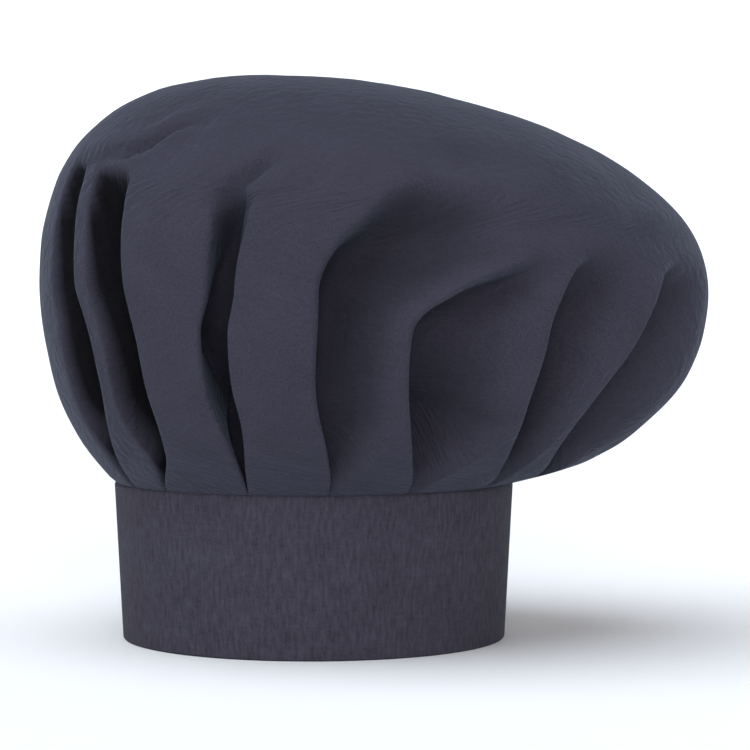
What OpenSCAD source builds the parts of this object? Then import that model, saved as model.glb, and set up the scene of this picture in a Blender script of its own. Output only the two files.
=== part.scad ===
// Chef's toque: a round crown cloth, knife pleated into a stiffened head band.
// The band closes at the centre back with a hook-and-loop tab.
// Millimetres, +Z up, the wearer faces -Y. The origin is the middle of the head opening at the
// band's lower edge. A turn is an angle about +Z from +X, so the centre back is at turn 90.

/* [Head band] */
// Width of the band's lower edge, side to side
band_width = 183; // [150:1:222]
// Length of the band's lower edge, front to back
band_length = 192; // [158:1:232]
// Height of the band
band_height = 75; // [55:1:100]
// How much wider and longer the band's upper edge is than its lower edge
band_flare = 8; // [0:0.5:14]

/* [Cloths] */
// Thickness of the shell cloth: band, facing and tab
cloth = 0.6; // [0.4:0.1:0.9]
// Thickness of the woven interlining inside the band
interlining = 0.8; // [0.4:0.1:1.4]
// Thickness of the pleated crown wall
crown_wall = 2; // [1.4:0.1:3]
// Thickness of each half of the hook-and-loop closure
tape = 1; // [0.6:0.1:1.6]
// How far a sewing thread stands proud of the cloth
thread = 0.35; // [0.2:0.05:0.5]
// Width of a row of stitches
stitch_width = 0.6; // [0.4:0.1:1]

/* [Crown] */
// Height of the crown's middle above the band
crown_height = 190; // [150:1:230]
// Reach of the crown from the band's middle on the side that droops
droop_reach = 190; // [150:1:215]
// Reach of the crown from the band's middle on the side that stands
stand_reach = 131; // [115:1:150]
// Reach of the crown to the front, and to the back
front_reach = 147; // [125:1:165]
// Height of the crown's widest line above the band
belly_height = 90; // [70:1:110]
// Number of knife pleats
pleats = 14; // [10:2:18]
// Deepest point of the groove behind each pleat
pleat_depth = 7; // [2:0.5:9]

/* [Back closure] */
// Length of the tab that laps over the centre back
tab_length = 60; // [40:1:75]
// How far the tab's upper edge lies below the band's upper edge
tab_drop = 0.8; // [0.4:0.1:3]
// Width of the hook and loop tapes
tape_width = 50; // [25:1:60]
// Length of the hook tape on the tab
hook_length = 40; // [20:1:50]
// Length of the loop tape on the underlap
loop_length = 66; // [30:1:75]
// Room between the closed hook and loop tapes
closure_gap = 0.6; // [0.5:0.1:1.2]
// How far the underlap runs on past the loop tape or the tab's root
underlap_run = 14; // [6:1:24]
// Height of the slit above the tab's root
vent_height = 62; // [40:1:68]
// Width of the slit
vent_gap = 1.2; // [0.8:0.1:3]
// Width of the binding along each edge of the slit
vent_binding_width = 7; // [5:0.5:10]

/* [Inside] */
// Width of the binding over the crown seam
binding_width = 14; // [8:1:20]
// Width of the care label
label_width = 30; // [20:1:40]
// Height of the care label
label_height = 32; // [20:1:40]
// Thickness of the folded care label
label_thick = 0.5; // [0.3:0.1:0.8]
// Turn at which the care label hangs
label_turn = 30; // [0:1:50]

/* [Hidden] */

navy = [0.16, 0.16, 0.20];
dark_thread = [0.10, 0.10, 0.13];
canvas = [0.75, 0.73, 0.68];
hook_black = [0.05, 0.05, 0.06];
satin_white = [0.92, 0.92, 0.90];

ply_gap = 0.02;      // air between two plies sewn together
joint_gap = 0.3;     // room between two bodies that move apart
band_step = 4;       // degrees between the band's facets
back = 90;           // turn of the centre back
mean_radius = (band_width + band_length + band_flare) / 4;
degree = mean_radius * PI / 180;   // millimetres along the band for each degree of turn

// Depths of the band's plies, measured inwards from its outer face.
interlining_out = cloth + ply_gap;
facing_out = interlining_out + interlining + ply_gap;
band_wall = facing_out + cloth;
hook_out = band_wall + ply_gap;
loop_out = hook_out + tape + closure_gap;
lap_sink = loop_out + tape + ply_gap;      // how far the underlap lies inside the band's line
binding_out = band_wall + ply_gap;
label_out = binding_out + cloth + thread + joint_gap;

// Turns of the closure. The band's strip runs from under the tab, round the front, to the root.
root_turn = back;
tab_turn = tab_length / degree;
tab_end = root_turn + tab_turn;
lap_ramp = 32;             // degrees over which the underlap sinks
lap_rest = 3;              // degrees between the tab's free end and the end of that ramp
lap_start = tab_end + lap_rest + lap_ramp - 360;
strip_end = root_turn - joint_gap / 2 / degree;

// The two tapes of the closure lie level with each other, in the middle of the band's height.
tape_low = (band_height - tape_width) / 2;
tape_high = (band_height + tape_width) / 2;
tape_margin = 4;           // cloth left between the hook tape and the tab's free end
tab_start = root_turn + joint_gap / 2 / degree;
tab_low = joint_gap;
tab_high = band_height - tab_drop;
hook_to = tab_end - tape_margin / degree;
hook_from = hook_to - hook_length / degree;
loop_from = tab_end - loop_length / degree;
strip_start = min(loop_from, root_turn) - underlap_run / degree - 360;
tape_thread = min(thread, closure_gap - joint_gap - 0.1);   // thread pressed down by the hooks
row_margin = 2;            // cloth left between a row of stitches and an edge

label_half = label_width / 2 / degree;
label_high = band_height - binding_width - joint_gap;

// The crown's surface and its pleats.
pleat_turn = 360 / pleats;
first_pleat = -85;         // turn of one folded edge
fold_share = 0.14;         // share of a pleat that the groove takes to reach its depth
pleat_shares = [0, fold_share, 0.3, 0.5, 0.7, 0.86];
calm_turn = 12;            // degrees on each side of the slit without full grooves
tack_height = 3;           // height of the bar tack
tack_thick = 0.8;
last_level = 0.97;         // the crown's uppermost ring, under its closing fan
low_rings = 8;
high_rings = 10;

function blend(a, b, share) = a + (b - a) * share;
function ease(share) = let (s = min(1, max(0, share))) s * s * (3 - 2 * s);

// ---------------------------------------------------------------- the band's surface

// How far the strip has sunk inwards at a turn counted from the root, round the front.
function sink(turn) = lap_sink * ease((lap_start - turn) / lap_ramp);

// The same between the band's facets.
function strip_sink(turn) =
    let (step = floor(turn / band_step))
    blend(sink(step * band_step), sink((step + 1) * band_step), turn / band_step - step);

// Direction square to the band's oval at a turn.
function outward(turn) =
    let (v = [cos(turn) / band_width, sin(turn) / band_length]) v / norm(v);

// A corner of the band's facets: its step round the oval, depth inwards and height.
function band_corner(step, depth, z) =
    let (turn = step * band_step, out = outward(turn), grow = band_flare * z / band_height)
    [
        (band_width + grow) / 2 * cos(turn) - out[0] * depth,
        (band_length + grow) / 2 * sin(turn) - out[1] * depth,
        z,
    ];

// A point of the band's oval, on its facets, so that all plies share the same flats.
function on_oval(turn, depth, z) =
    let (step = floor(turn / band_step))
    blend(band_corner(step, depth, z), band_corner(step + 1, depth, z), turn / band_step - step);

// The same for the strip, whose far end sinks under the tab.
function on_strip(turn, depth, z) =
    let (step = floor(turn / band_step))
    blend(
        band_corner(step, depth + sink(step * band_step), z),
        band_corner(step + 1, depth + sink((step + 1) * band_step), z),
        turn / band_step - step
    );

// The facets' own turns between two ends, with both ends.
function stops(from, to, step) =
    [
        from,
        for (i = [floor(from / step) + 1 : ceil(to / step) - 1])
            if (i * step > from + 0.01 && i * step < to - 0.01) i * step,
        to,
    ];

// A wall between two depths over a grid of columns and levels, which both rise. Its last
// column closes on its first above slit_levels where a top is given, and a fan closes its crown.
module wall(columns, levels, place, outside, inside, top = [], slit_levels = 0) {
    across = len(columns);
    up = len(levels);
    round = len(top) > 0;
    crest = 2 * across * up;
    function at(side, j, i) = side * across * up + j * across + i % across;
    points = [for (depth = [outside, inside]) for (v = levels) for (u = columns) place(u, v, depth)];
    skins = [
        for (j = [0 : up - 2])
            for (i = [0 : round && j >= slit_levels ? across - 1 : across - 2])
                let (
                    a = at(0, j, i), b = at(0, j, i + 1), c = at(0, j + 1, i + 1), d = at(0, j + 1, i),
                    e = at(1, j, i), f = at(1, j, i + 1), g = at(1, j + 1, i + 1), h = at(1, j + 1, i)
                )
                each [[a, d, c], [a, c, b], [e, f, g], [e, g, h]],
    ];
    low_edge = [
        for (i = [0 : across - (round && slit_levels == 0 ? 1 : 2)])
            let (a = at(0, 0, i), b = at(0, 0, i + 1), e = at(1, 0, i), f = at(1, 0, i + 1))
            each [[a, b, f], [a, f, e]],
    ];
    high_edge = round ? [] : [
        for (i = [0 : across - 2])
            let (
                c = at(0, up - 1, i + 1), d = at(0, up - 1, i),
                g = at(1, up - 1, i + 1), h = at(1, up - 1, i)
            )
            each [[c, d, h], [c, h, g]],
    ];
    open_levels = round ? slit_levels : up - 1;
    ends = open_levels == 0 ? [] : [
        for (j = [0 : open_levels - 1])
            let (
                a = at(0, j, 0), d = at(0, j + 1, 0), e = at(1, j, 0), h = at(1, j + 1, 0),
                b = at(0, j, across - 1), c = at(0, j + 1, across - 1),
                f = at(1, j, across - 1), g = at(1, j + 1, across - 1)
            )
            each [[d, a, e], [d, e, h], [b, c, g], [b, g, f]],
    ];
    slit_top = !round || slit_levels == 0 ? [] :
        let (
            a = at(0, slit_levels, across - 1), b = at(0, slit_levels, across),
            f = at(1, slit_levels, across), e = at(1, slit_levels, across - 1)
        )
        [[a, b, f], [a, f, e]];
    fans = !round ? [] : [
        for (i = [0 : across - 1])
            each [
                [at(0, up - 1, i + 1), at(0, up - 1, i), crest],
                [at(1, up - 1, i), at(1, up - 1, i + 1), crest + 1],
            ],
    ];
    faces = concat(skins, low_edge, high_edge, ends, slit_top, fans);
    polyhedron(concat(points, top), faces, convexity = 10);
}

// A ply of the band's strip, over its whole length unless ends are given.
module strip_ply(outside, inside, low = 0, high = band_height, from = strip_start, to = strip_end) {
    wall(stops(from, to, band_step), [low, high], function(u, v, d) on_strip(u, d, v), outside, inside);
}

// A piece that lies on the band's oval, such as a ply of the tab.
module oval_ply(from, to, outside, inside, low, high) {
    wall(stops(from, to, band_step), [low, high], function(u, v, d) on_oval(u, d, v), outside, inside);
}

// A sewn rectangle of thread rows on the oval: two long rows and two ends.
module sewn_box(from, to, outside, inside, low, high) {
    row = stitch_width / degree;
    oval_ply(from, to, outside, inside, low, low + stitch_width);
    oval_ply(from, to, outside, inside, high - stitch_width, high);
    for (end = [from, to - row])
        oval_ply(end, end + row, outside, inside, low + stitch_width, high - stitch_width);
}

// ---------------------------------------------------------------- the crown's surface

belly_x = (droop_reach - stand_reach) / 2;       // middle of the widest line
belly_half = (droop_reach + stand_reach) / 2;
belly_tilt = 3.7;       // how much lower the widest line lies on the drooping side
top_slope = 0.118;      // fall of the crown's top towards the drooping side

// Bezier handles of a meridian on the standing side and on the drooping side.
seam_handle = [34, 55];     // length of the handle at the seam
seam_rise = [46, 12];       // its angle above level
belly_below = [35, 47.6];   // handle under the widest line
belly_above = [88.7, 52.8]; // handle over the widest line
top_handle = [101, 77];     // handle at the top

function droop(turn) = (1 + cos(turn)) / 2;
function side_blend(pair, turn) = blend(pair[0], pair[1], droop(turn));

function bezier(p, s) =
    let (r = 1 - s) r * r * r * p[0] + 3 * r * r * s * p[1] + 3 * r * s * s * p[2] + s * s * s * p[3];

function top_point() = [belly_x, 0, band_height + crown_height];

function belly_point(turn) =
    let (x = belly_x + belly_half * cos(turn), y = front_reach * sin(turn))
    [x, y, band_height + belly_height - belly_tilt * cos(turn)];

// The crown's smooth outer surface: level 0 at the seam, 0.5 at the widest line, 1 at the top.
function smooth_crown(turn, level) =
    let (
        seam = on_oval(turn, 0, band_height),
        belly = belly_point(turn),
        top = top_point(),
        lean = [belly[0] - seam[0], belly[1] - seam[1]],
        away = lean / max(1, norm(lean)),
        rise = side_blend(seam_rise, turn),
        climb = [away[0] * cos(rise), away[1] * cos(rise), sin(rise)],
        low_handle = side_blend(seam_handle, turn) * climb,
        reach = [belly[0] - top[0], belly[1] - top[1]],
        over = reach / norm(reach) * side_blend(top_handle, turn)
    )
    level < 0.5
        ? bezier([
            seam,
            seam + low_handle,
            belly - [0, 0, side_blend(belly_below, turn)],
            belly,
        ], level * 2)
        : bezier([
            belly,
            belly + [0, 0, side_blend(belly_above, turn)],
            top + [over[0], over[1], -top_slope * over[0]],
            top,
        ], level * 2 - 1);

// Direction inwards, square to the smooth surface.
function inward(turn, level) =
    level > 0.99 ? [0, 0, -1] :
    level < 0.01 ? let (out = outward(turn)) [-out[0], -out[1], 0] :
    let (
        up = smooth_crown(turn, level + 0.005) - smooth_crown(turn, level - 0.005),
        along = smooth_crown(turn + 0.5, level) - smooth_crown(turn - 0.5, level),
        n = cross(up, along)
    ) n / norm(n);

// Level of the crown's surface at the centre back at a height above the band.
function level_at(height, low = 0, high = 0.5, tries = 24) =
    let (middle = (low + high) / 2)
    tries == 0 ? middle :
    smooth_crown(back, middle)[2] - band_height < height
        ? level_at(height, middle, high, tries - 1)
        : level_at(height, low, middle, tries - 1);

vent_level = level_at(vent_height);
tack_level = level_at(vent_height - tack_height);

// The groove behind a pleat's folded edge: sharp beyond the edge, then easing out over the panel.
function groove(turn, level) =
    let (
        place = (turn - first_pleat) / pleat_turn,
        share = place - floor(place),
        across = share < fold_share ? share / fold_share : pow((1 - share) / (1 - fold_share), 1.2),
        upward = ease(level / 0.16) * (1 - ease((level - 0.4) / 0.2)),
        slit_side = ease((min(back - turn, turn - back + 360) - calm_turn / 2) / (calm_turn / 2))
    )
    pleat_depth * across * upward * slit_side;

// A point of the crown at a depth inwards. Turns run from the underlap's side of the slit,
// round the front, to the root.
function crown_point(turn, level, depth) =
    level == 0
        ? on_strip(turn, depth, band_height)
        : smooth_crown(turn, level) + inward(turn, level)
            * (depth + groove(turn, level) + strip_sink(turn) * (1 - ease(level / tack_level)));

// Millimetres along the crown for each degree of turn at the slit.
function vent_scale(level) = norm(smooth_crown(back + 1, level) - smooth_crown(back - 1, level)) / 2;

// A column of the crown's grid is a turn and a distance from it, so that the slit's columns
// keep their distances from each other up to its end.
function on_crown(column, level, depth) =
    let (aside = column[1] == 0 ? 0 : column[1] / vent_scale(min(level, vent_level)))
    crown_point(column[0] + aside, level, depth);

// Distances of the slit's edge, its row of stitches and its binding's edge.
row_out = vent_gap / 2 + vent_binding_width - row_margin;
vent_stops = [vent_gap / 2, row_out - stitch_width, row_out, vent_gap / 2 + vent_binding_width];
vent_clear = vent_stops[3] / degree + 1;

// Columns along the slit's edge on one side, between two of those distances.
function vent_columns(side, from, to) =
    side < 0
        ? [for (k = [to : -1 : from]) [back, -vent_stops[k]]]
        : [for (k = [from : to]) [back - 360, vent_stops[k]]];

first_step = ceil((back - 360 - first_pleat) / pleat_turn) - 1;
pleat_columns = [
    for (k = [first_step : first_step + pleats + 1])
        for (share = pleat_shares)
            let (turn = first_pleat + (k + share) * pleat_turn)
            if (turn > back - 360 + vent_clear && turn < back - vent_clear) [turn, 0],
];
crown_columns = concat(vent_columns(1, 0, 3), pleat_columns, vent_columns(-1, 0, 3));
slit_rings = [for (i = [0 : low_rings - 1]) tack_level * i / low_rings];
crown_levels = concat(
    slit_rings,
    [tack_level],
    [for (i = [0 : high_rings]) blend(vent_level, last_level, i / high_rings)]
);
place_on_crown = function(u, v, d) on_crown(u, v, d);

// ---------------------------------------------------------------- the crown and its slit

module crown()
    color(navy)
        wall(crown_columns, crown_levels, place_on_crown, 0, crown_wall,
            top = [top_point(), top_point() - [0, 0, crown_wall]], slit_levels = low_rings + 1);

module vent_binding()
    color(navy)
        for (side = [-1, 1])
            wall(vent_columns(side, 0, 3), concat(slit_rings, [tack_level, vent_level]), place_on_crown,
                -ply_gap - cloth, -ply_gap);

module vent_binding_stitching()
    color(dark_thread)
        for (side = [-1, 1])
            wall(vent_columns(side, 1, 2), concat(slit_rings, [tack_level]), place_on_crown,
                -2 * ply_gap - cloth - thread, -2 * ply_gap - cloth);

module vent_bar_tack()
    color(dark_thread)
        for (side = [-1, 1])
            wall(vent_columns(side, 0, 1), [tack_level, vent_level], place_on_crown,
                -2 * ply_gap - cloth - tack_thick, -2 * ply_gap - cloth);

// ---------------------------------------------------------------- the band

module band_outer() color(navy) strip_ply(0, cloth);

module band_interlining() color(canvas) strip_ply(interlining_out, interlining_out + interlining);

module band_facing() color(navy) strip_ply(facing_out, band_wall);

module seam_binding()
    color(navy)
        strip_ply(binding_out, binding_out + cloth, low = band_height - binding_width);

module seam_binding_stitching()
    let (low = band_height - binding_width / 2, outside = binding_out + cloth + ply_gap)
    color(dark_thread)
        strip_ply(outside, outside + thread, low = low, high = low + stitch_width);

module loop_tape()
    color(navy)
        oval_ply(loop_from, tab_end, loop_out, loop_out + tape, tape_low, tape_high);

module loop_tape_stitching()
    let (inset = row_margin / degree)
    color(dark_thread)
        sewn_box(
            loop_from + inset, tab_end - inset,
            loop_out - ply_gap - tape_thread, loop_out - ply_gap,
            tape_low + row_margin, tape_high - row_margin
        );

// ---------------------------------------------------------------- the closing tab

module tab_outer() color(navy) oval_ply(tab_start, tab_end, 0, cloth, tab_low, tab_high);

module tab_interlining()
    color(canvas)
        oval_ply(tab_start, tab_end, interlining_out, interlining_out + interlining, tab_low, tab_high);

module tab_facing() color(navy) oval_ply(tab_start, tab_end, facing_out, band_wall, tab_low, tab_high);

module tab_edge_stitching()
    let (
        low = tab_low + row_margin,
        high = tab_high - row_margin,
        to = tab_end - row_margin / degree,
        row = stitch_width / degree,
        outside = -ply_gap - thread
    )
    color(dark_thread) {
        oval_ply(tab_start, to, outside, -ply_gap, low, low + stitch_width);
        oval_ply(tab_start, to, outside, -ply_gap, high - stitch_width, high);
        oval_ply(to - row, to, outside, -ply_gap, low + stitch_width, high - stitch_width);
    }

module hook_tape()
    color(hook_black)
        oval_ply(hook_from, hook_to, hook_out, hook_out + tape, tape_low, tape_high);

module hook_tape_stitching()
    let (inset = row_margin / degree)
    color(dark_thread)
        sewn_box(hook_from + inset, hook_to - inset, -ply_gap - thread, -ply_gap,
            tape_low + row_margin, tape_high - row_margin);

// ---------------------------------------------------------------- the care label

module care_label()
    color(satin_white)
        wall(
            [label_turn - label_half, label_turn + label_half],
            [label_high - label_height, label_high],
            function(u, v, d) on_oval(u, d, v), label_out, label_out + label_thick
        );

module care_label_stitching()
    let (low = band_height - binding_width + row_margin / 2, outside = binding_out + cloth + ply_gap)
    color(dark_thread)
        strip_ply(outside, outside + thread, low, low + stitch_width,
            label_turn - label_half, label_turn + label_half);

crown();
band_outer();
band_interlining();
band_facing();
seam_binding();
seam_binding_stitching();
loop_tape();
loop_tape_stitching();
vent_binding();
vent_binding_stitching();
vent_bar_tack();
tab_outer();
tab_interlining();
tab_facing();
tab_edge_stitching();
hook_tape();
hook_tape_stitching();
care_label();
care_label_stitching();
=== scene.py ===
"""A chef's toque in dark cloth: a puffed, knife-pleated crown on a stiffened head band.

Everything is in metres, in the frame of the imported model: the origin is the middle of the head
opening at the band's lower edge, +Z is up, the wearer faces -Y and the crown droops towards +X.
A turn is an angle about +Z from +X, in degrees, so the centre back is at turn 90. A level is a
share of the way up the crown: 0 at the band's seam, 0.5 at the widest line, 1 at the top.
"""

import logging
import math
from dataclasses import dataclass, field
from enum import Enum
from typing import Callable, Sequence

import bmesh
import bpy
import numpy as np
from mathutils import Matrix, Vector, noise


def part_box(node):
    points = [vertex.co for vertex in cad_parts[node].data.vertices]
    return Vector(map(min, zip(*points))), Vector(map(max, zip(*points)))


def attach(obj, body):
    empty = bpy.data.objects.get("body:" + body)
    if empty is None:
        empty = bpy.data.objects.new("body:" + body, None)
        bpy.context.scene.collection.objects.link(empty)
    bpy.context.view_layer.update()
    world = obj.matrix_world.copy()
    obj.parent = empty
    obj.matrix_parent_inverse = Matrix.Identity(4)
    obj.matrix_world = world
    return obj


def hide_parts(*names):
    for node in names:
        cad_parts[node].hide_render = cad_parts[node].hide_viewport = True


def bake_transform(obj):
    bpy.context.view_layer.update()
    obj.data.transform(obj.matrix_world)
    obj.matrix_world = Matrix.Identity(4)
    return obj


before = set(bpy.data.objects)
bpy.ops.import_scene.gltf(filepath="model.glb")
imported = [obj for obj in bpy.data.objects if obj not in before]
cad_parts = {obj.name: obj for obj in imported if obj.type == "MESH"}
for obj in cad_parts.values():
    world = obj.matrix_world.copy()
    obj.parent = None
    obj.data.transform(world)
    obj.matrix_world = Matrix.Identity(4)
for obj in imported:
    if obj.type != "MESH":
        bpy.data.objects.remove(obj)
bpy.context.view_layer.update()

BACK = 90.0  # turn of the centre back
ROOT = 86.0  # turn at which the band's strip ends and the tab's cloth begins
ROW_MARGIN = 0.0023  # cloth left between a row of stitches and an edge
LOG = logging.getLogger("toque")

Point = tuple[float, float, float]
Place = Callable[[float, float], Sequence[float]]


# ------------------------------------------------------------------ small helpers


def ease(share: np.ndarray | float) -> np.ndarray | float:
    """Smooth step from 0 to 1, flat at both ends."""
    held = np.clip(share, 0.0, 1.0)
    return held * held * (3.0 - 2.0 * held)


def mix(low: float, high: float, share: np.ndarray | float) -> np.ndarray | float:
    """Straight blend from low to high."""
    return low + (high - low) * share


def flow(at: np.ndarray, knots: Sequence[float], values: Sequence[float]) -> np.ndarray:
    """Smooth curve through a few values.

    Args:
        at: Where the curve is read.
        knots: Rising places of the values.
        values: The values that the curve passes through.

    Returns:
        The curve's value at each place, held constant past both ends.
    """
    x, y = np.asarray(knots, float), np.asarray(values, float)
    slope = np.gradient(y, x)
    steps = np.diff(y)
    turning = np.r_[False, steps[1:] * steps[:-1] <= 0, False]
    slope[turning] = 0.0
    held = np.clip(at, x[0], x[-1])
    i = np.clip(np.searchsorted(x, held) - 1, 0, len(x) - 2)
    span = x[i + 1] - x[i]
    s = (held - x[i]) / span
    h00, h10 = 2 * s**3 - 3 * s**2 + 1, s**3 - 2 * s**2 + s
    h01, h11 = -2 * s**3 + 3 * s**2, s**3 - s**2
    return h00 * y[i] + h10 * span * slope[i] + h01 * y[i + 1] + h11 * span * slope[i + 1]


def new_object(name: str, mesh: bmesh.types.BMesh) -> bpy.types.Object:
    """Makes a scene object of a finished bmesh.

    Args:
        name: The piece's name.
        mesh: The bmesh, which is freed.

    Returns:
        The new object, at the origin, with smooth faces.
    """
    data = bpy.data.meshes.new(name)
    mesh.to_mesh(data)
    mesh.free()
    for polygon in data.polygons:
        polygon.use_smooth = True
    made = bpy.data.objects.new(name, data)
    bpy.context.scene.collection.objects.link(made)
    return made


def dress(piece: bpy.types.Object, material: bpy.types.Material) -> None:
    """Gives a piece one material in place of any other."""
    piece.data.materials.clear()
    piece.data.materials.append(material)


def coordinates(mesh: bmesh.types.BMesh) -> np.ndarray:
    """Positions of all vertices of a bmesh as an array."""
    return np.array([v.co[:] for v in mesh.verts], float)


def move_to(mesh: bmesh.types.BMesh, places: np.ndarray) -> None:
    """Moves every vertex of a bmesh to its row in an array."""
    for vert, place in zip(mesh.verts, places):
        vert.co = place


def only_verts(made: Sequence[object]) -> list[bmesh.types.BMVert]:
    """The vertices among what an operator made."""
    return [item for item in made if isinstance(item, bmesh.types.BMVert)]


def cloth_strip(
    name: str,
    places: Sequence[Place],
    cells: tuple[int, int],
    size: tuple[float, float],
    thickness: float,
    rows: Sequence[float] = (0.0, 1.0),
) -> bpy.types.Object:
    """One piece of one or more equal strips of cloth, each laid on a surface.

    Args:
        name: The piece's name.
        places: For each strip, its outer face's position by shares along and up it.
        cells: Number of cells along and up a strip.
        size: A strip's length and height when flat, for its UV map.
        thickness: The cloth's thickness, grown inwards.
        rows: Shares up the strip between which its rows are evenly spread.

    Returns:
        The piece, with a UV map in metres.
    """
    mesh = bmesh.new()
    uv = mesh.loops.layers.uv.new("cloth")
    for i, place in enumerate(places):
        made = bmesh.ops.create_grid(mesh, x_segments=cells[0], y_segments=cells[1], size=0.5)["verts"]
        for vert in made:
            up = float(np.interp(vert.co.y + 0.5, np.linspace(0.0, 1.0, len(rows)), rows))
            vert.co = (vert.co.x + 0.5, up, 0.0)
        for face in {face for vert in made for face in vert.link_faces}:
            for loop in face.loops:
                loop[uv].uv = (loop.vert.co.x * size[0] + i * 0.07, loop.vert.co.y * size[1])
        for vert in made:
            vert.co = place(vert.co.x, vert.co.y)
    piece = new_object(name, mesh)
    add_wall(piece, thickness)
    return piece


def add_wall(piece: bpy.types.Object, thickness: float) -> None:
    """Gives a sheet its thickness, against its normals.

    Args:
        piece: The sheet.
        thickness: Its thickness in metres, negative to grow along its normals.
    """
    wall = piece.modifiers.new("wall", "SOLIDIFY")
    wall.thickness = thickness
    wall.offset = -1.0
    wall.use_even_offset = False


class Slot(Enum):
    """The record's material slots."""

    CROWN = "crown_cloth"
    BAND = "band_cloth"
    INTERLINING = "interlining"
    BINDING = "binding_tape"
    THREAD = "thread"
    LOOP = "loop_pile"
    HOOK = "hook_plastic"
    LABEL = "label_satin"


class Body(Enum):
    """The record's bodies."""

    TOQUE = "toque"
    TAB = "closure_tab"
    LABEL = "care_label"


def fit(
    piece: bpy.types.Object, slot: Slot, body: Body, *nodes: str, bend: tuple[Point, Point] = ()
) -> None:
    """Dresses a piece, makes it ride unless a bend is given, and lets it stand for CAD nodes.

    Args:
        piece: The piece.
        slot: Its material slot.
        body: The body that it rides on, when no bend is given.
        *nodes: The CAD nodes that it replaces.
        bend: For cloth that crosses from the toque to the body, where it starts and ends. Only
            whether it is given is used: such a piece is left fixed in place.
    """
    dress(piece, FINISHES[slot].material())
    if bend:
        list(bend)
        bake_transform(piece)
    else:
        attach(piece, body.value)
    if nodes:
        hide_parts(*nodes)
    LOG.info("%s: %s on %s, for %s", piece.name, slot.value, body.value, ", ".join(nodes) or "no node")


# ------------------------------------------------------------------ finishes


class Nodes:
    """A short hand for building one material's node tree."""

    def __init__(self, name: str) -> None:
        """Starts an empty material of that name."""
        self.material = bpy.data.materials.new(name)
        self.material.use_nodes = True
        self.tree = self.material.node_tree
        self.tree.nodes.clear()

    def add(self, kind: str, **sockets: object) -> bpy.types.Node:
        """Adds a node.

        Args:
            kind: The node's type, without its ShaderNode prefix.
            **sockets: Inputs by name with spaces as underscores. A value that is an output
                socket is linked, any other is set. Names that are no input are properties.

        Returns:
            The new node.
        """
        node = self.tree.nodes.new("ShaderNode" + kind)
        for key, value in sockets.items():
            name = key.replace("_", " ")
            if hasattr(node, key):
                setattr(node, key, value)
                continue
            index = int(key[2:]) if key.startswith("in") and key[2:].isdigit() else None
            socket = node.inputs[index] if index is not None else node.inputs[name]
            if isinstance(value, bpy.types.NodeSocket):
                self.tree.links.new(value, socket)
            else:
                socket.default_value = value
        return node

    def math(self, operation: str, a: object, b: object = 0.0) -> bpy.types.NodeSocket:
        """One arithmetic node's output."""
        return self.add("Math", operation=operation, in0=a, in1=b).outputs[0]

    def surface(self, shader: bpy.types.Node) -> bpy.types.Material:
        """Links a shader to the material's output and returns the material."""
        out = self.add("OutputMaterial")
        self.tree.links.new(shader.outputs[0], out.inputs["Surface"])
        return self.material


class Finish:
    """A finish that makes its material once."""

    name: str

    def material(self) -> bpy.types.Material:
        """The finish's material."""
        name = self.name + "_finish"
        return bpy.data.materials.get(name) or self.build(Nodes(name))

    def build(self, n: Nodes) -> bpy.types.Material:
        """Fills an empty material."""
        raise NotImplementedError


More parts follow.
